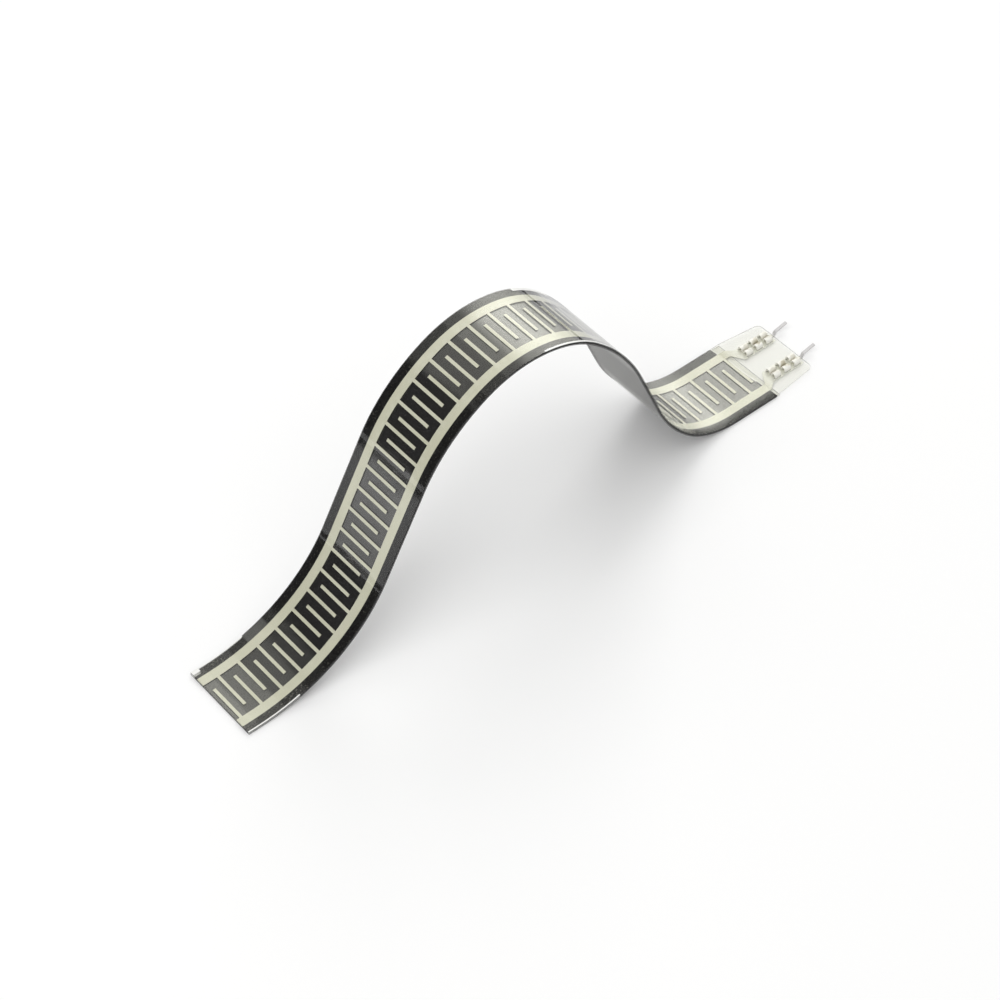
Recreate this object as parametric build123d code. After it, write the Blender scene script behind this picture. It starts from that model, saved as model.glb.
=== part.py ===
from build123d import *
import math
import os

os.makedirs("parts", exist_ok=True)

# Strip force sensing resistor, resting in a standing arch. Millimetres, +Z up.
# X runs from the free end of the strip to the soldering pins, Y is across the strip.
# Lengths along the strip, s, are measured from its free end on the printed face of the
# sensing film, and heights from that face, n, are positive on its bare side.

# Thickness of each layer
SENSING_T = 0.125
SILVER_T = 0.04
SPACER_T = 0.14
CARBON_T = 0.04
BACKING_T = 0.125

# Side profile of the strip: radii on the printed face, and angles to the table
FOOT_L = 1.5
RISE_R = 20.75
RISE_ANGLE = 62
FLANK_L = 12.5
SHOULDER_R = 21.5
SHOULDER_ANGLE = 27
CREST_R = 14.25
CREST_ANGLE = 42
FALL_R = 28.5
FALL_ANGLE = 67
TROUGH_R = 22.75
TROUGH_ANGLE = 45
SWEEP_R = 12.5
LEVEL_L = 13.4

# The backing film stops short of the level end, which leaves a clear tail
TAIL_L = 6.3
TAIL_TAPER = 0.7
TAIL_CORNER_R = 0.8

# Printed silver: two buses whose fingers interleave, and the leads to the terminals
ACTIVE_W = 6.35
BUS_W = 1.2
PITCH = 2.9
FINGER_W = 0.4
FINGER_TIP_GAP = 1.2
FIRST_FINGER = 0.7
LAST_FINGER_GAP = 0.9
LEAD_BEND_L = 1.1
PAD_LAP = 0.15
PAD_MARGIN = 0.3

# Spacer adhesive: a rail along each edge, and a bar across the pin end
RAIL_W = 1.025
CROSS_BAR_L = 0.5
BACKING_MARGIN = 0.3

# Carbon print, whose slanting end stops short of the backing film's end at each edge
CARBON_GAP_NEAR = 0.5
CARBON_GAP_FAR = 1.5

# Near the free end, carbon and adhesive leave both edges and one corner of the films clear
EDGE_MARGIN = 0.2
EDGE_MARGIN_L = 7.3
CLEAR_CORNER_L = 1.0
CLEAR_CORNER_W = 0.6

# Crimped terminals: a plate under the film, with claws that pass through it and curl over
TERMINAL_PITCH = 5.08
SHEET_T = 0.2
PLATE_W = 1.8
PLATE_MARGIN = 0.15
CLAW_ROWS = 3
CLAW_L = 1.0
CLAW_PITCH = 1.7
CLAW_TIP_GAP = 0.12
CLAW_RISE = 0.12
NECK_L = 0.5
PIN_W = 0.4
PIN_L = 2.5
PIN_STEP_START = 0.25
PIN_STEP_H = 0.45
PIN_STEP_ANGLE = 66
PIN_RISE_ANGLE = 12
PIN_BEND_R = 0.2

# Helpers: how far cutting tools overshoot, and what counts as the same point
OVERSHOOT = 1.0
SAME = 1e-6

STACK_T = SPACER_T + CARBON_T + BACKING_T
BUS_INNER = ACTIVE_W / 2
BUS_OUTER = BUS_INNER + BUS_W
PRINT_EDGE = BUS_OUTER + RAIL_W
FILM_EDGE = PRINT_EDGE + EDGE_MARGIN


def sin(angle):
    return math.sin(math.radians(angle))


def cos(angle):
    return math.cos(math.radians(angle))


def bend(radius, start_angle, end_angle):
    """Arc piece of a path: its length, and its curvature, which is positive when it turns up."""
    turn = math.radians(end_angle - start_angle)
    return abs(turn) * radius, math.copysign(1 / radius, turn)


def walk(x, z, heading, pieces):
    """Path in the XZ plane, as the start length, point, heading and curvature of each piece."""
    path = []
    done = 0.0
    angle = math.radians(heading)
    for length, curvature in pieces:
        path.append((done, x, z, angle, curvature))
        x, z, angle = advance(x, z, angle, curvature, length)
        done += length
    return path


def advance(x, z, angle, curvature, run):
    """Point and heading after a run along one piece."""
    if not curvature:
        return x + run * math.cos(angle), z + run * math.sin(angle), angle
    turned = angle + curvature * run
    x += (math.sin(turned) - math.sin(angle)) / curvature
    z -= (math.cos(turned) - math.cos(angle)) / curvature
    return x, z, turned


def point(path, s, n=0.0, y=0.0):
    """Point at length s along a path and n off it, in the plane at y."""
    start, x, z, angle, curvature = [p for p in path if p[0] <= s + SAME][-1]
    x, z, angle = advance(x, z, angle, curvature, s - start)
    return Vector(x - n * math.sin(angle), y, z + n * math.cos(angle))


def ribbon(path, s0, s1, n0, n1, y0, y1):
    """Solid that follows a path from s0 to s1, between two offsets and two Y planes."""
    y0, y1 = sorted((y0, y1))
    joints = [p[0] for p in path if s0 + SAME < p[0] < s1 - SAME]
    stops = [s0] + joints + [s1]
    edges = [Line(point(path, s, n0, y0), point(path, s, n1, y0)) for s in (s0, s1)]
    for n in (n0, n1):
        for a, b in zip(stops, stops[1:]):
            first, middle, last = (point(path, s, n, y0) for s in (a, (a + b) / 2, b))
            if (middle - (first + last) / 2).length < SAME:
                edges.append(Line(first, last))
            else:
                edges.append(ThreePointArc(first, middle, last))
    return extrude(make_face(edges), amount=y1 - y0, dir=(0, 1, 0))


def plate(corners, z, height):
    """Flat solid with its plan outline given by its corners."""
    outline = make_face(Polyline(*corners, close=True))
    return Pos(0, 0, z) * extrude(outline, amount=height, dir=(0, 0, 1))


def fall_length():
    """Length of the straight fall that brings the level end back to the foot's height."""
    rise = (
        RISE_R * (1 - cos(RISE_ANGLE))
        + FLANK_L * sin(RISE_ANGLE)
        + SHOULDER_R * (cos(SHOULDER_ANGLE) - cos(RISE_ANGLE))
        + CREST_R * (1 - cos(SHOULDER_ANGLE))
    )
    bent_fall = (
        CREST_R * (1 - cos(CREST_ANGLE))
        + FALL_R * (cos(CREST_ANGLE) - cos(FALL_ANGLE))
        + TROUGH_R * (cos(TROUGH_ANGLE) - cos(FALL_ANGLE))
        + SWEEP_R * (1 - cos(TROUGH_ANGLE))
    )
    return (rise - bent_fall) / sin(FALL_ANGLE)


PIECES = [
    (FOOT_L, 0),
    bend(RISE_R, 0, RISE_ANGLE),
    (FLANK_L, 0),
    bend(SHOULDER_R, RISE_ANGLE, SHOULDER_ANGLE),
    bend(CREST_R, SHOULDER_ANGLE, -CREST_ANGLE),
    bend(FALL_R, -CREST_ANGLE, -FALL_ANGLE),
    (fall_length(), 0),
    bend(TROUGH_R, -FALL_ANGLE, -TROUGH_ANGLE),
    bend(SWEEP_R, -TROUGH_ANGLE, 0),
    (LEVEL_L, 0),
]
STRIP_L = sum(length for length, _ in PIECES)
BACKING_L = STRIP_L - TAIL_L
PRINT_L = BACKING_L - BACKING_MARGIN

# The origin is on the table, under the middle of the length from the free end to the pin tips.
SPAN = point(walk(0, 0, 0, PIECES), STRIP_L).X + PIN_L
START_X = -SPAN / 2
STRIP = walk(START_X, STACK_T, 0, PIECES)
TAIL_X = point(STRIP, BACKING_L).X
END_X = point(STRIP, STRIP_L).X


def make_claw(plate_z):
    """One claw, drawn in the XZ plane: up through the film, over and down to touch it."""
    straight = STACK_T + SENSING_T + CLAW_RISE - plate_z
    side = PLATE_W / 2 - SHEET_T / 2
    tip = CLAW_TIP_GAP / 2 + SHEET_T / 2
    curl_r = (side - tip) / 2
    curl = bend(curl_r, 90, 270)
    path = walk(side, plate_z, 90, [(straight, 0), curl, (CLAW_RISE, 0)])
    length = straight + curl[0] + CLAW_RISE
    return ribbon(path, 0, length, -SHEET_T / 2, SHEET_T / 2, -CLAW_L / 2, CLAW_L / 2)


def make_pin(plate_z):
    """Flat pin that leaves the plate at the film's end, steps up and rises gently to its tip."""
    up = bend(PIN_BEND_R, 0, PIN_STEP_ANGLE)
    down = bend(PIN_BEND_R, PIN_STEP_ANGLE, PIN_RISE_ANGLE)
    bends_h = PIN_BEND_R * (1 + cos(PIN_RISE_ANGLE) - 2 * cos(PIN_STEP_ANGLE))
    slope = (PIN_STEP_H - bends_h) / sin(PIN_STEP_ANGLE)
    pieces = [(PIN_STEP_START, 0), up, (slope, 0), down]
    stepped = sum(run for run, _ in pieces)
    stepped_x = point(walk(0, 0, 0, pieces), stepped).X
    tip_x = PIN_L - SHEET_T / 2 * sin(PIN_RISE_ANGLE)
    rise = (tip_x - stepped_x) / cos(PIN_RISE_ANGLE)
    path = walk(END_X, plate_z + SHEET_T / 2, 0, pieces + [(rise, 0)])
    return ribbon(path, 0, stepped + rise, -SHEET_T / 2, SHEET_T / 2, -PIN_W / 2, PIN_W / 2)


def make_terminal():
    """Stamped terminal at Y = 0: plate, tapering neck, pin, and claws along both sides."""
    plate_z = STACK_T - SILVER_T - SHEET_T
    neck_x = END_X - PLATE_MARGIN
    front_x = neck_x - NECK_L
    back_x = front_x - (CLAW_ROWS - 1) * CLAW_PITCH - CLAW_L
    outline = [
        (back_x, PLATE_W / 2),
        (front_x, PLATE_W / 2),
        (neck_x, PIN_W / 2),
        (END_X, PIN_W / 2),
    ]
    mirrored = [(x, -y) for x, y in reversed(outline)]
    terminal = plate(outline + mirrored, plate_z, SHEET_T) + make_pin(plate_z)
    claw = make_claw(plate_z)
    for row in range(CLAW_ROWS):
        x = back_x + CLAW_L / 2 + row * CLAW_PITCH
        for side in (90, -90):
            terminal += Pos(x, 0, 0) * Rot(0, 0, side) * claw
    return terminal


def make_sensing_film():
    """Full width as far as the backing goes, then a tail that narrows to rounded corners."""
    film = ribbon(STRIP, 0, STRIP_L, 0, SENSING_T, -FILM_EDGE, FILM_EDGE)
    tail_edge = FILM_EDGE - TAIL_TAPER
    outline = [
        (START_X - OVERSHOOT, FILM_EDGE),
        (TAIL_X, FILM_EDGE),
        (END_X, tail_edge),
    ]
    mirrored = [(x, -y) for x, y in reversed(outline)]
    plan = make_face(Polyline(*outline, *mirrored, close=True))
    corners = plan.vertices().filter_by(lambda v: abs(v.X - END_X) < SAME)
    plan = fillet(corners, TAIL_CORNER_R)
    height = film.bounding_box().max.Z + OVERSHOOT
    return film & extrude(plan, amount=height, dir=(0, 0, 1))


def make_comb(side):
    """Bus, fingers and lead in one print: side is 1 for the bus at +Y and -1 for -Y."""
    bus = ribbon(STRIP, 0, PRINT_L, -SILVER_T, 0, side * BUS_INNER, side * BUS_OUTER)
    tip_y = -side * (BUS_INNER - FINGER_TIP_GAP)
    first = FIRST_FINGER + (PITCH / 2 if side > 0 else 0)
    room = PRINT_L - LAST_FINGER_GAP - FIRST_FINGER - PITCH / 2
    fingers = []
    for i in range(int(room / PITCH) + 1):
        s0 = first + i * PITCH - FINGER_W / 2
        s1 = s0 + FINGER_W
        fingers.append(ribbon(STRIP, s0, s1, -SILVER_T, 0, side * BUS_INNER, tip_y))
    bus_x = point(STRIP, PRINT_L).X
    pad_x = bus_x + LEAD_BEND_L
    pad_end = END_X - PAD_MARGIN
    pad_half = PLATE_W / 2 + PAD_LAP
    pad_inner = side * (TERMINAL_PITCH / 2 - pad_half)
    pad_outer = side * (TERMINAL_PITCH / 2 + pad_half)
    outline = [
        (bus_x, side * BUS_INNER),
        (bus_x, side * BUS_OUTER),
        (pad_x, pad_outer),
        (pad_end, pad_outer),
        (pad_end, pad_inner),
        (pad_x, pad_inner),
    ]
    lead = plate(outline, STACK_T - SILVER_T, SILVER_T)
    return bus.fuse(*fingers, lead).clean()


def make_clear_areas():
    """Tools for the places that carbon and adhesive leave clear near the free end."""
    tools = []
    for side in (-1, 1):
        inner, outer = side * PRINT_EDGE, side * (FILM_EDGE + OVERSHOOT)
        tools.append(ribbon(STRIP, 0, EDGE_MARGIN_L, -STACK_T, SENSING_T, inner, outer))
    corner_x = START_X + CLEAR_CORNER_L
    y0, y1 = PRINT_EDGE - CLEAR_CORNER_W, FILM_EDGE + OVERSHOOT
    corner = [(START_X, y0), (corner_x, y0), (corner_x, y1), (START_X, y1)]
    tools.append(plate(corner, 0, STACK_T + SENSING_T))
    return tools


def make_spacer():
    """Rail along each edge and a bar across the pin end, left open at the free end."""
    rails = []
    for side in (-1, 1):
        inner, outer = side * BUS_OUTER, side * FILM_EDGE
        rails.append(ribbon(STRIP, 0, PRINT_L, -SPACER_T, 0, inner, outer))
    bar_s = PRINT_L - CROSS_BAR_L
    bar = ribbon(STRIP, bar_s, PRINT_L, -SPACER_T, -SILVER_T, -BUS_OUTER, BUS_OUTER)
    return rails[0].fuse(rails[1], bar).clean().cut(*make_clear_areas())


def make_carbon():
    """Black print over the whole sensing length, with a slanting end."""
    low, high = -SPACER_T - CARBON_T, -SPACER_T
    carbon = ribbon(STRIP, 0, BACKING_L, low, high, -FILM_EDGE, FILM_EDGE)
    past_end = [
        (TAIL_X - CARBON_GAP_NEAR, -FILM_EDGE),
        (TAIL_X + OVERSHOOT, -FILM_EDGE),
        (TAIL_X + OVERSHOOT, FILM_EDGE),
        (TAIL_X - CARBON_GAP_FAR, FILM_EDGE),
    ]
    return carbon.cut(*make_clear_areas(), plate(past_end, 0, STACK_T))


def make_backing_film():
    """Film under the carbon, as wide as the sensing film."""
    return ribbon(STRIP, 0, BACKING_L, -STACK_T, BACKING_T - STACK_T, -FILM_EDGE, FILM_EDGE)


terminal = make_terminal()
sensing_film = make_sensing_film()
nodes = {}
for name, side in (("near", -1), ("far", 1)):
    placed = Pos(0, side * TERMINAL_PITCH / 2, 0) * terminal
    nodes["terminal_" + name] = placed
    nodes["silver_comb_" + name] = make_comb(side) - placed
    sensing_film -= placed
nodes["sensing_film"] = sensing_film
nodes["spacer_adhesive"] = make_spacer()
nodes["carbon_layer"] = make_carbon()
nodes["backing_film"] = make_backing_film()

for name, solid in nodes.items():
    export_step(solid, f"parts/{name}.step")
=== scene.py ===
import math

import bpy
from mathutils import Matrix, Vector

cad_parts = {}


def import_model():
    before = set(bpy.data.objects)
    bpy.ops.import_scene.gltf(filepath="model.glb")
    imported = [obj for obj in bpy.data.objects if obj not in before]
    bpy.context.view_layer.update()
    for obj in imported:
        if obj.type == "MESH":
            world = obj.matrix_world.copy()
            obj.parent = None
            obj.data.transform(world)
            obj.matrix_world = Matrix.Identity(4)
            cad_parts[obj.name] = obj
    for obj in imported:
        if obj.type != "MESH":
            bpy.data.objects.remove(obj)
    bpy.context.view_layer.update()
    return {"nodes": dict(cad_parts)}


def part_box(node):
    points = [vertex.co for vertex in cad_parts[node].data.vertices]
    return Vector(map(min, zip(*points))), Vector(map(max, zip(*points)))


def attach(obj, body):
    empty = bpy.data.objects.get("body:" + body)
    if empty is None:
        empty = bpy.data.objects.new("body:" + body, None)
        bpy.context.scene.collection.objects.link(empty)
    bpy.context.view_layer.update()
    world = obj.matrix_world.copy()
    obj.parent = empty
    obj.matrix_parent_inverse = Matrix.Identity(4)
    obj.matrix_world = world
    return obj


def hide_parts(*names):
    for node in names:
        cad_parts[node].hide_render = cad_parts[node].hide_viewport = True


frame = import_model()

MM = 0.001

# Camera: where it looks, from which side and how far off, in metres and degrees
CAMERA_TARGET = Vector((-0.004131, 0.0, 0.004972))
CAMERA_AZIMUTH = -39.94
CAMERA_ELEVATION = 48.32
CAMERA_DISTANCE = 0.32982
LENS_MM = 100.39
SENSOR_MM = 36.0

# Films: how they bend light, how far they are drawn in, and how their faces are told apart
FILM_IOR = 1.6
FILM_INSET = 0.004 * MM
SAME_WAY = 0.9
CUT_FACE_TILT = 0.2
OUTER_LOOK, CUT_LOOK, INNER_LOOK = 0, 1, 2

# Where the strip's layers start and stop, from the frame: X runs along it and Y across it
STRIP_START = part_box("carbon_layer")[0][0]
CARBON_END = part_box("carbon_layer")[1][0]
FILM_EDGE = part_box("carbon_layer")[1][1]
FILM_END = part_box("sensing_film")[1][0]
TERMINAL_Y = sum(corner[1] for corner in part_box("terminal_far")) / 2
CARBON_SLANT = 1.0 * MM

# Where the films lie clear and take a painted white glint: margins at the free end, its far corner,
# and the crest's edges
WHITE_SOFTNESS = 0.04 * MM
MARGIN_W = 0.2 * MM
MARGIN_L = 7.3 * MM
CLEAR_CORNER_L = 1.0 * MM
CLEAR_CORNER_W = 0.6 * MM
CREST_NEAR_START = -2.3 * MM
CREST_FAR_START = 2.0 * MM
CREST_FADE = (8.5 * MM, 6.5 * MM)
CREST_NEAR_W = 0.3 * MM
CREST_FAR_W = 0.5 * MM

# X over which each look along the strip sets in or ends
LEVEL_END = (16 * MM, 22 * MM)
AIR_THINS = (-40 * MM, -34 * MM)
# X where the painted reflection on the far border sets in and ends
REFLECTION_PATCH_START = (-38.3 * MM, -38.1 * MM)
REFLECTION_PATCH_END = (-35.1 * MM, -35.5 * MM)
BARE_SILVER = (CARBON_END - 0.8 * MM, CARBON_END + 1.2 * MM)
ON_CLAWS = (FILM_END - 0.5 * MM, FILM_END - 0.6 * MM)
ON_PINS = (FILM_END - 0.1 * MM, FILM_END + 0.1 * MM)

# Brown spots, one in the middle of each pair of claws
CLAW_PITCH = 1.7 * MM
BROWN_X = FILM_END - 0.95 * MM
BROWN_REACH = (0.75 * MM, 0.3 * MM)
BROWN_RAGGEDNESS = 0.15 * MM
MIDDLE_PAIR = (0.7 * MM, 1.0 * MM)

# Clear film: the shares of light that it mirrors and how rough it is, also at the level end,
# which handling has dulled, and gloss taken off its near rim there as painted shade
GRAZING_FROM = 0.12
HANDLED_GRAZING = -0.5
HANDLED_GAIN = 1.3
MOST_MIRRORED = 0.8
RIM_W = 1.3 * MM
RIM_PAINTED_SHADE = 0.75
TAIL_DULLNESS = 0.6
SMEAR_ROUGHNESS = (0.03, 0.07)
HANDLED_ROUGHNESS = 0.28

# Colours in linear light
CLEAR = (0.985, 0.985, 0.975)
CLEAR_TAIL = (0.935, 0.935, 0.915)
BACKING = (0.91, 0.91, 0.905)
BACKING_TAIL = (0.97, 0.97, 0.96)
# Painted highlight: white laid on the films' clear margins, far corner and crest edges
PAINTED_GLINT_WHITE = (0.9, 0.9, 0.87)
CUT_DARK = ((0.03, 0.03, 0.03), (0.10, 0.10, 0.095))
CUT_PALE = ((0.42, 0.42, 0.40), (0.6, 0.6, 0.57))
SILVER = ((0.635, 0.63, 0.5), (0.68, 0.675, 0.55))
SILVER_GRAIN = (0.46, 0.45, 0.36)
# Painted light: silver paler where no carbon lies under it
SILVER_PAINTED_PALE = (0.90, 0.90, 0.83)
CARBON = ((0.018, 0.0175, 0.0195), (0.027, 0.026, 0.026))
ADHESIVE = (0.012, 0.0115, 0.012)
TRAPPED_AIR = (0.24, 0.235, 0.205)
# Painted reflection: grey on the far border near the free end
BORDER_PAINTED_REFLECTION = (0.09, 0.09, 0.088)
TIN = (0.93, 0.92, 0.86)
TIN_PIN = (0.66, 0.65, 0.65)
CLAW_BROWN = (0.47, 0.43, 0.31)
PAPER = (0.93, 0.93, 0.925)
PAPER_MIRRORED = (0.33, 0.33, 0.33)
SEAM_MIRRORED = (0.02, 0.02, 0.02)
WHITE = (1, 1, 1)
ROOM_TINT = (1, 1, 0.93)

# Room that gloss mirrors: azimuths from straight behind towards the right and elevations, in
# radians, with how bright each part is
BACKDROP_LEFT = (-0.76, -0.68)
BACKDROP_BRIGHTNESS = (0.04, 0.56)
BACKDROP_TOP = (1.216, 1.224)
BACKDROP_TOP_SLOPE = 0.6
ABOVE_BACKDROP = 0.3
RIGHT_WALL = (0.04, 0.10)
RIGHT_WALL_HEIGHT = (-0.1, 0.9)
RIGHT_WALL_BRIGHTNESS = 0.5
RIGHT_WALL_FOOT = 0.4
FRONT = (0.1, -0.4)
FRONT_BRIGHTNESS = 0.5
CEILING = (1.08, 1.2)
SOFT_BOX_ELEVATION = 0.56
SOFT_BOX_SPREAD = 0.45
SOFT_BOX_LEFT = (0.40, 0.72)
SOFT_BOX_RIGHT = (1.6, 1.25)
SOFT_BOX_BRIGHTNESS = 2.35

# Even light of the world on all but gloss, and the lamps: place, size and power
EVEN_LIGHT = 0.58
TOP_BOX = (Vector((-0.29, -0.05, 0.54)), 0.45, 1.3)
BACK_BOX = (Vector((0.37, 0.31, 0.36)), 0.3, 1.0)

# Floor, in metres: its dark seam and left end, which only gloss sees, and its own brightness
FLOOR_HALF = 3.0
DARK_NEAR_Y = (0.0, 0.06)
DARK_FAR_Y = (0.34, 0.26)
SEAM_LEFT_X = (0.19, 0.195)
SEAM_RIGHT_X = (0.32, 0.31)
PAPER_LEFT_X = (-0.239, -0.247)
FLOOR_LIFT_DISTANCE = (0.12, 1.0)
FLOOR_LIFT = (0.09, 0.42)
FLOOR_GLOW_DISTANCE = (0.1, 0.28)
FLOOR_GLOW = (0.36, 0.66)


# Node helpers
def put(tree, kind, values=None, **settings):
    """New node with its settings, and its inputs as sockets to link or as plain values.

    A colour of three parts gets an alpha of 1.
    """
    node = tree.nodes.new(kind)
    for name, value in settings.items():
        setattr(node, name, value)
    for key, value in (values or {}).items():
        if isinstance(value, bpy.types.NodeSocket):
            tree.links.new(value, node.inputs[key])
        elif isinstance(value, tuple) and len(value) < len(node.inputs[key].default_value):
            node.inputs[key].default_value = (*value, 1)
        else:
            node.inputs[key].default_value = value
    return node


def calc(tree, operation, a, b=0.0):
    """Output of a math node."""
    return put(tree, "ShaderNodeMath", {0: a, 1: b}, operation=operation).outputs[0]


def product(tree, first, *others):
    """All the values multiplied."""
    for other in others:
        first = calc(tree, "MULTIPLY", first, other)
    return first


def one_less(tree, value):
    """1 less the value."""
    return calc(tree, "SUBTRACT", 1.0, value)


def ramp(tree, value, low, high, to_low=0.0, to_high=1.0):
    """Value smoothly carried from low..high to to_low..to_high, and clamped there."""
    values = {"Value": value, 1: low, 2: high, 3: to_low, 4: to_high}
    node = put(tree, "ShaderNodeMapRange", values, interpolation_type="SMOOTHSTEP")
    return node.outputs["Result"]


def position(tree):
    """X and Y of the shaded point in the row frame."""
    place = put(tree, "ShaderNodeTexCoord").outputs["Object"]
    x, y, _ = put(tree, "ShaderNodeSeparateXYZ", {0: place}).outputs
    return x, y


def noise(tree, size, detail=3.0, roughness=0.5, stretch=(1, 1, 1)):
    """Noise in the row frame whose patches are about size metres across."""
    place = put(tree, "ShaderNodeTexCoord").outputs["Object"]
    scaled = put(tree, "ShaderNodeMapping", {"Vector": place, "Scale": stretch})
    values = {
        "Vector": scaled.outputs[0],
        "Scale": 1 / size,
        "Detail": detail,
        "Roughness": roughness,
    }
    return put(tree, "ShaderNodeTexNoise", values).outputs["Fac"]


def blend(tree, share, first, second):
    """Colour that goes from first to second with share."""
    values = {0: share, 6: first, 7: second}
    return put(tree, "ShaderNodeMix", values, data_type="RGBA").outputs[2]


def bump(tree, height, distance):
    """Normal of a surface whose relief is distance deep."""
    values = {"Height": height, "Distance": distance}
    return put(tree, "ShaderNodeBump", values).outputs[0]


def see_through(tree, colour):
    """Shader that tints what lies behind."""
    return put(tree, "ShaderNodeBsdfTransparent", {"Color": colour}).outputs[0]


def principled(tree, values):
    """Principled shader with these inputs."""
    return put(tree, "ShaderNodeBsdfPrincipled", values).outputs[0]


def mix_shaders(tree, share, first, second):
    """Shader that goes from first to second with share."""
    return put(tree, "ShaderNodeMixShader", {0: share, 1: first, 2: second}).outputs[0]


def new_material(name):
    """New material with no nodes, and its node tree."""
    material = bpy.data.materials.new(name)
    material.use_nodes = True
    material.node_tree.nodes.clear()
    return material, material.node_tree


def finish_material(tree, surface):
    """Ends a material's nodes with the output of this surface."""
    put(tree, "ShaderNodeOutputMaterial", {"Surface": surface})


# Materials
def past_carbon(tree):
    """1 past the slanting end of the carbon, where nothing dark lies under the adhesive."""
    x, y = position(tree)
    slope = CARBON_SLANT / (2 * FILM_EDGE)
    back = product(tree, calc(tree, "ADD", y, FILM_EDGE), slope)
    return ramp(tree, calc(tree, "ADD", x, back), CARBON_END, CARBON_END + 0.02 * MM)


def painted_edge_glint(tree):
    """Share of painted white glint on the films' clear margins by the free end, its far corner and
    the crest's edges.
    """

    def past(value, start):
        return ramp(tree, value, start, start + WHITE_SOFTNESS)

    def before(value, end):
        return ramp(tree, value, end + WHITE_SOFTNESS, end)

    x, y = position(tree)
    margins = product(
        tree,
        past(calc(tree, "ABSOLUTE", y), FILM_EDGE - MARGIN_W),
        before(x, STRIP_START + MARGIN_L),
    )
    corner = product(
        tree, past(y, FILM_EDGE - CLEAR_CORNER_W), before(x, STRIP_START + CLEAR_CORNER_L)
    )
    near = product(
        tree,
        ramp(tree, y, CREST_NEAR_W - FILM_EDGE, CREST_NEAR_W - FILM_EDGE - WHITE_SOFTNESS),
        past(x, CREST_NEAR_START),
    )
    far = product(tree, past(y, FILM_EDGE - CREST_FAR_W), past(x, CREST_FAR_START))
    crest = product(tree, calc(tree, "MAXIMUM", near, far), ramp(tree, x, *CREST_FADE))
    return calc(tree, "MAXIMUM", calc(tree, "MAXIMUM", margins, corner), crest)


def film_mirror(tree, ripple, handled, grazing_gloss):
    """Share of light that the film mirrors: more at grazing angles, but less so where handled."""
    fresnel = put(tree, "ShaderNodeFresnel", {"IOR": FILM_IOR, "Normal": ripple}).outputs[0]
    grazing = calc(tree, "MAXIMUM", calc(tree, "SUBTRACT", fresnel, GRAZING_FROM), 0.0)
    layers = ramp(tree, handled, 0.0, 1.0, 1.0, HANDLED_GRAZING)
    mirrored = calc(tree, "ADD", fresnel, product(tree, grazing, layers, grazing_gloss))
    gain = ramp(tree, handled, 0.0, 1.0, 1.0, HANDLED_GAIN)
    return calc(tree, "MINIMUM", product(tree, mirrored, gain), MOST_MIRRORED)


def clear_film(name, gloss, grazing_gloss, white, tint, tail_tint):
    """Clear polyester: seen through, with a gloss on the side that faces the ray, painted shade on
    the near rim of the level end, and a painted white glint on its clear edges.
    """
    material, tree = new_material(name)
    x, y = position(tree)
    bare = past_carbon(tree)
    handled = ramp(tree, x, *LEVEL_END)
    ripple = bump(tree, noise(tree, size=6 * MM, detail=1.0), 0.002 * MM)
    smears = ramp(tree, noise(tree, size=1.5 * MM, detail=5.0), 0.35, 0.75, *SMEAR_ROUGHNESS)
    roughness = calc(tree, "ADD", smears, product(tree, handled, HANDLED_ROUGHNESS))

    share = product(tree, film_mirror(tree, ripple, handled, grazing_gloss), gloss)
    # Painted shade: gloss fades towards the near edge of the level end, darkening that rim
    rim = ramp(tree, y, RIM_W - FILM_EDGE, -FILM_EDGE, 0.0, RIM_PAINTED_SHADE)
    inside = put(tree, "ShaderNodeNewGeometry").outputs["Backfacing"]
    path = put(tree, "ShaderNodeLightPath").outputs
    rim_shade_and_tail_haze = [product(tree, rim, handled), product(tree, bare, TAIL_DULLNESS)]
    for taken in [*rim_shade_and_tail_haze, inside, path["Is Shadow Ray"], path["Is Diffuse Ray"]]:
        share = product(tree, share, one_less(tree, taken))

    through = see_through(tree, blend(tree, bare, tint, tail_tint))
    mirror = principled(
        tree, {"Base Color": WHITE, "Metallic": 1.0, "Roughness": roughness, "Normal": ripple}
    )
    film = mix_shaders(tree, share, through, mirror)
    # Painted highlight: a white diffuse glint laid over the film on its clear margins, far corner
    # and crest edges
    painted_glint_shader = principled(tree, {"Base Color": PAINTED_GLINT_WHITE, "Roughness": 0.3})
    edge = product(tree, painted_edge_glint(tree), white)
    finish_material(tree, mix_shaders(tree, edge, film, painted_glint_shader))
    return material


def bonded_face():
    """Inner side of a film, where it lies on the prints and mirrors nothing."""
    material, tree = new_material("bonded_face")
    finish_material(tree, see_through(tree, CLEAR))
    return material


def cut_face():
    """Sheared edge of the film: dark beside the carbon, frosted grey past it."""
    material, tree = new_material("cut_face")
    streaks = noise(tree, size=0.3 * MM)
    dark = blend(tree, streaks, *CUT_DARK)
    pale = blend(tree, streaks, *CUT_PALE)
    colour = blend(tree, past_carbon(tree), dark, pale)
    values = {"Base Color": colour, "Roughness": 0.4, "Alpha": 0.7}
    finish_material(tree, principled(tree, values))
    return material


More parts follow.
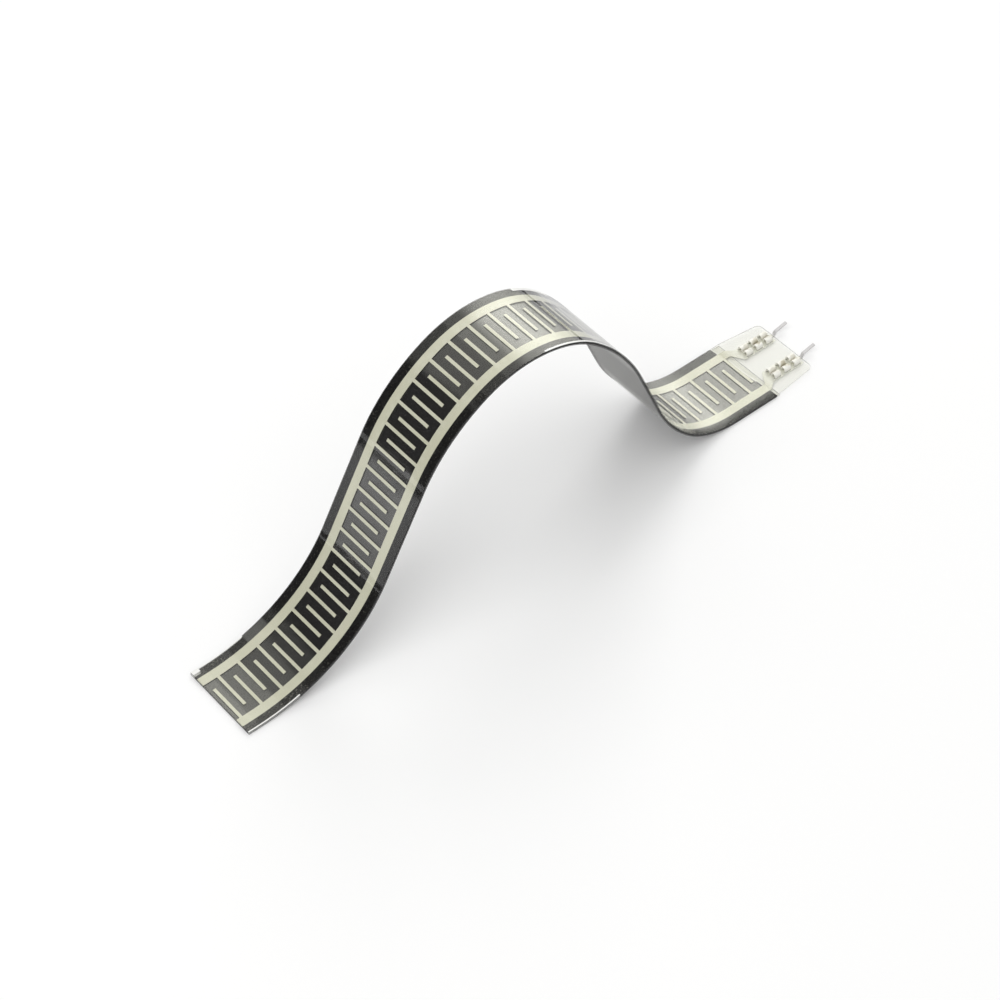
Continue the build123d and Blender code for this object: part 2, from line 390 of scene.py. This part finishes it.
def silver_ink():
    """Screen-printed silver: a creamy satin with fine grain, and painted light: paler where it lies
    over no carbon.
    """
    material, tree = new_material("silver_ink")
    x, _ = position(tree)
    grain = noise(tree, size=0.12 * MM, detail=2.0)
    drift = noise(tree, size=5 * MM, detail=2.0)
    tone = blend(tree, ramp(tree, drift, 0.3, 0.7), *SILVER)
    speckled = blend(tree, ramp(tree, grain, 0.45, 0.8, 0.0, 0.3), tone, SILVER_GRAIN)
    # Painted light: the silver past the carbon is made paler
    colour = blend(tree, ramp(tree, x, *BARE_SILVER), speckled, SILVER_PAINTED_PALE)
    values = {
        "Base Color": colour,
        "Roughness": ramp(tree, grain, 0.3, 0.7, 0.16, 0.28),
        "IOR": 1.4,
        "Normal": bump(tree, grain, 0.003 * MM),
    }
    finish_material(tree, principled(tree, values))
    return material


def carbon_ink():
    """Black resistive print, with a gloss of its own under the film."""
    material, tree = new_material("carbon_ink")
    grain = noise(tree, size=0.08 * MM)
    drift = noise(tree, size=3 * MM)
    values = {
        "Base Color": blend(tree, grain, *CARBON),
        "Roughness": ramp(tree, drift, 0.3, 0.7, 0.06, 0.12),
        "IOR": 1.85,
        "Normal": bump(tree, grain, 0.0001 * MM),
    }
    finish_material(tree, principled(tree, values))
    return material


def adhesive():
    """Border, dark over the carbon, with trapped air, and a painted reflection: a grey patch on the
    far side near the free end.
    """
    material, tree = new_material("adhesive")
    x, y = position(tree)
    specks = noise(tree, size=0.22 * MM, detail=2.0, roughness=0.6)
    bubbles = ramp(tree, specks, 0.56, 0.68)
    clouds = ramp(tree, noise(tree, size=1.6 * MM, detail=2.0), 0.38, 0.6, 0.15, 1.0)
    air = product(tree, bubbles, clouds, ramp(tree, x, *AIR_THINS, 0.8, 0.2))
    far_side = ramp(tree, y, 0.0, 1 * MM)
    # Painted reflection: a grey patch on the far border near the free end
    painted_reflection = product(tree, ramp(tree, x, *REFLECTION_PATCH_START), ramp(tree, x, *REFLECTION_PATCH_END), far_side)
    colour = blend(tree, painted_reflection, blend(tree, air, ADHESIVE, TRAPPED_AIR), BORDER_PAINTED_REFLECTION)
    dark = principled(
        tree,
        {
            "Base Color": colour,
            "Roughness": ramp(tree, clouds, 0.0, 1.0, 0.3, 0.15),
            "Specular IOR Level": 0.15,
        },
    )
    finish_material(tree, mix_shaders(tree, past_carbon(tree), dark, see_through(tree, CLEAR)))
    return material


def claw_brown_share(tree, x, y):
    """Share of brown in the middle of each pair of claws, most on the middle pair."""
    across = calc(tree, "SUBTRACT", calc(tree, "ABSOLUTE", y), TERMINAL_Y)
    along = calc(tree, "PINGPONG", calc(tree, "SUBTRACT", BROWN_X, x), CLAW_PITCH / 2)
    spot = put(tree, "ShaderNodeCombineXYZ", {0: along, 1: across}).outputs[0]
    off_spot = put(tree, "ShaderNodeVectorMath", {0: spot}, operation="LENGTH").outputs["Value"]
    patches = noise(tree, size=0.5 * MM, detail=2.0)
    raggedness = ramp(tree, patches, 0.3, 0.7, -BROWN_RAGGEDNESS, BROWN_RAGGEDNESS)
    inside = ramp(tree, calc(tree, "ADD", off_spot, raggedness), *BROWN_REACH)
    off_middle = calc(tree, "ABSOLUTE", calc(tree, "SUBTRACT", x, BROWN_X - CLAW_PITCH))
    strength = ramp(tree, off_middle, *MIDDLE_PAIR, 0.85, 0.4)
    return product(tree, inside, ramp(tree, x, *ON_CLAWS), strength)


def tinned_metal():
    """Dull tin: brown in the middle of each pair of claws, the middle pair most, and the pins are
    greyer.
    """
    material, tree = new_material("tinned_metal")
    x, y = position(tree)
    tin = blend(tree, ramp(tree, x, *ON_PINS), TIN, TIN_PIN)
    grain = noise(tree, size=0.15 * MM, stretch=(0.3, 1, 1))
    values = {
        "Base Color": blend(tree, claw_brown_share(tree, x, y), tin, CLAW_BROWN),
        "Metallic": 0.12,
        "Roughness": ramp(tree, grain, 0.3, 0.7, 0.45, 0.6),
        "Normal": bump(tree, grain, 0.003 * MM),
    }
    finish_material(tree, principled(tree, values))
    return material


# Pieces
def drawn_in_copy(node):
    """A node's mesh drawn in by a hair, so that none of its faces lies on the next layer's."""
    mesh = frame["nodes"][node].data.copy()
    spots = [vertex.co.to_tuple(7) for vertex in mesh.vertices]
    ways = {}
    for vertex, spot in zip(mesh.vertices, spots):
        found = ways.setdefault(spot, [])
        if all(vertex.normal.dot(way) < SAME_WAY for way in found):
            found.append(vertex.normal.copy())
    for vertex, spot in zip(mesh.vertices, spots):
        for way in ways[spot]:
            vertex.co -= way * FILM_INSET
    return mesh


def face_look(lean):
    """Which look a film's face has, by how far its normal leans towards the film's outside."""
    if lean > CUT_FACE_TILT:
        return OUTER_LOOK
    if lean > -CUT_FACE_TILT:
        return CUT_LOOK
    return INNER_LOOK


def make_film(name, node, looks, outward):
    """Film that stands for its node: outer face, frosted cut edges and bonded inner face."""
    mesh = drawn_in_copy(node)
    mesh.materials.clear()
    for look in looks:
        mesh.materials.append(look)
    for polygon in mesh.polygons:
        polygon.material_index = face_look(polygon.normal.z * outward)
    film = bpy.data.objects.new(name, mesh)
    bpy.context.scene.collection.objects.link(film)
    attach(film, "root")
    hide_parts(node)


def make_films():
    """The top film, with its gloss, and the backing film below the carbon."""
    edge, inner = cut_face(), bonded_face()
    top = clear_film(
        "clear_film", gloss=1.0, grazing_gloss=1.1, white=1.0, tint=CLEAR, tail_tint=CLEAR_TAIL
    )
    under = clear_film(
        "backing_film",
        gloss=0.32,
        grazing_gloss=0.0,
        white=0.0,
        tint=BACKING,
        tail_tint=BACKING_TAIL,
    )
    make_film("sensing_film_clear", "sensing_film", (top, edge, inner), 1)
    make_film("backing_film_clear", "backing_film", (under, edge, inner), -1)


def dress_nodes():
    """Gives each node that shows as it is its material."""
    silver, tin = silver_ink(), tinned_metal()
    looks = {
        "silver_comb_near": silver,
        "silver_comb_far": silver,
        "spacer_adhesive": adhesive(),
        "carbon_layer": carbon_ink(),
        "terminal_near": tin,
        "terminal_far": tin,
    }
    for name, material in looks.items():
        frame["nodes"][name].material_slots[0].material = material


# Room
def room_light(tree):
    """What gloss mirrors: a soft box behind on the right, a pale backdrop, a dark left side."""
    way = put(tree, "ShaderNodeTexCoord").outputs["Generated"]
    x, y, z = put(tree, "ShaderNodeSeparateXYZ", {0: way}).outputs
    azimuth = calc(tree, "ARCTAN2", x, y)
    elevation = calc(tree, "ARCSINE", z)

    slant = calc(tree, "SUBTRACT", elevation, product(tree, azimuth, BACKDROP_TOP_SLOPE))
    back = product(
        tree,
        ramp(tree, azimuth, *BACKDROP_LEFT, *BACKDROP_BRIGHTNESS),
        ramp(tree, slant, *BACKDROP_TOP, 1.0, ABOVE_BACKDROP),
    )
    right = product(
        tree,
        ramp(tree, azimuth, *RIGHT_WALL, 0.0, RIGHT_WALL_BRIGHTNESS),
        ramp(tree, elevation, *RIGHT_WALL_HEIGHT, RIGHT_WALL_FOOT, 1.0),
    )
    front = ramp(tree, y, *FRONT, 0.0, FRONT_BRIGHTNESS)

    off_box = calc(tree, "SUBTRACT", elevation, SOFT_BOX_ELEVATION)
    off_box = calc(tree, "DIVIDE", off_box, SOFT_BOX_SPREAD)
    soft_box = product(
        tree,
        calc(tree, "EXPONENT", product(tree, off_box, off_box, -1.0)),
        ramp(tree, azimuth, *SOFT_BOX_LEFT),
        ramp(tree, azimuth, *SOFT_BOX_RIGHT),
        SOFT_BOX_BRIGHTNESS,
    )

    light = soft_box
    for part in (back, right, front):
        light = calc(tree, "ADD", light, part)
    return calc(tree, "MAXIMUM", light, ramp(tree, elevation, *CEILING))


def background(tree, colour, strength):
    """World shader of one colour."""
    values = {"Color": colour, "Strength": strength}
    return put(tree, "ShaderNodeBackground", values).outputs[0]


def make_world():
    """White to the camera, the studio to gloss, and an even light to all else."""
    world = bpy.data.worlds.new("studio")
    bpy.context.scene.world = world
    world.use_nodes = True
    tree = world.node_tree
    tree.nodes.clear()
    path = put(tree, "ShaderNodeLightPath").outputs
    even = background(tree, WHITE, EVEN_LIGHT)
    mirrored = background(tree, ROOM_TINT, room_light(tree))
    unseen = mix_shaders(tree, path["Is Glossy Ray"], even, mirrored)
    seen = mix_shaders(tree, path["Is Camera Ray"], unseen, background(tree, WHITE, 1.0))
    put(tree, "ShaderNodeOutputWorld", {"Surface": seen})


def floor_paper():
    """White paper that ends to the left, and has a dark seam to the right, in reflections."""
    material, tree = new_material("floor_paper")
    x, y = position(tree)
    behind = product(tree, ramp(tree, y, *DARK_NEAR_Y), ramp(tree, y, *DARK_FAR_Y))
    seam = product(tree, ramp(tree, x, *SEAM_LEFT_X), ramp(tree, x, *SEAM_RIGHT_X))
    dark = calc(tree, "MAXIMUM", seam, ramp(tree, x, *PAPER_LEFT_X))
    pale = one_less(tree, product(tree, dark, behind))

    path = put(tree, "ShaderNodeLightPath").outputs
    seen, mirrored = path["Is Camera Ray"], path["Is Glossy Ray"]
    place = put(tree, "ShaderNodeTexCoord").outputs["Object"]
    off = put(tree, "ShaderNodeVectorMath", {0: place}, operation="LENGTH").outputs["Value"]
    lift = product(tree, seen, ramp(tree, off, *FLOOR_LIFT_DISTANCE, *FLOOR_LIFT))
    glow = product(tree, mirrored, ramp(tree, off, *FLOOR_GLOW_DISTANCE, *FLOOR_GLOW), pale)
    dimmed = blend(tree, pale, SEAM_MIRRORED, PAPER_MIRRORED)
    values = {
        "Base Color": blend(tree, mirrored, PAPER, dimmed),
        "Roughness": 1.0,
        "Specular IOR Level": 0.0,
        "Emission Color": WHITE,
        "Emission Strength": calc(tree, "ADD", lift, glow),
    }
    finish_material(tree, principled(tree, values))
    return material


def make_floor():
    """Plain pale floor at the height that the strip rests on."""
    half = FLOOR_HALF
    corners = [(-half, -half, 0), (half, -half, 0), (half, half, 0), (-half, half, 0)]
    mesh = bpy.data.meshes.new("floor")
    mesh.from_pydata(corners, [], [(0, 1, 2, 3)])
    mesh.materials.append(floor_paper())
    floor = bpy.data.objects.new("floor", mesh)
    bpy.context.scene.collection.objects.link(floor)


def make_lamp(name, place, size, power):
    """Square soft box that faces the object, and that gloss doesn't see."""
    light = bpy.data.lights.new(name, "AREA")
    light.shape = "SQUARE"
    light.size = size
    light.energy = power
    lamp = bpy.data.objects.new(name, light)
    lamp.location = place
    lamp.rotation_mode = "QUATERNION"
    lamp.rotation_quaternion = (-place).to_track_quat("-Z", "Y")
    lamp.visible_glossy = False
    bpy.context.scene.collection.objects.link(lamp)


def make_camera():
    """Camera at the photograph's viewing angle."""
    azimuth, elevation = math.radians(CAMERA_AZIMUTH), math.radians(CAMERA_ELEVATION)
    back = Vector((
        math.sin(azimuth) * math.cos(elevation),
        -math.cos(azimuth) * math.cos(elevation),
        math.sin(elevation),
    ))
    right = Vector((math.cos(azimuth), math.sin(azimuth), 0))
    up = back.cross(right)
    camera_data = bpy.data.cameras.new("camera")
    camera_data.lens = LENS_MM
    camera_data.sensor_width = SENSOR_MM
    camera_data.clip_start = 0.01
    camera_data.clip_end = 20.0
    camera = bpy.data.objects.new("camera", camera_data)
    turn = Matrix((right, up, back)).transposed().to_4x4()
    camera.matrix_world = Matrix.Translation(CAMERA_TARGET + back * CAMERA_DISTANCE) @ turn
    bpy.context.scene.collection.objects.link(camera)
    bpy.context.scene.camera = camera


def set_render_look():
    """Plain view transform, and enough see-through steps for the films and the adhesive."""
    scene = bpy.context.scene
    scene.view_settings.view_transform = "Standard"
    scene.cycles.transparent_max_bounces = 24


dress_nodes()
make_films()
make_world()
make_floor()
make_lamp("top_box", *TOP_BOX)
make_lamp("back_box", *BACK_BOX)
make_camera()
set_render_look()

bpy.context.view_layer.update()
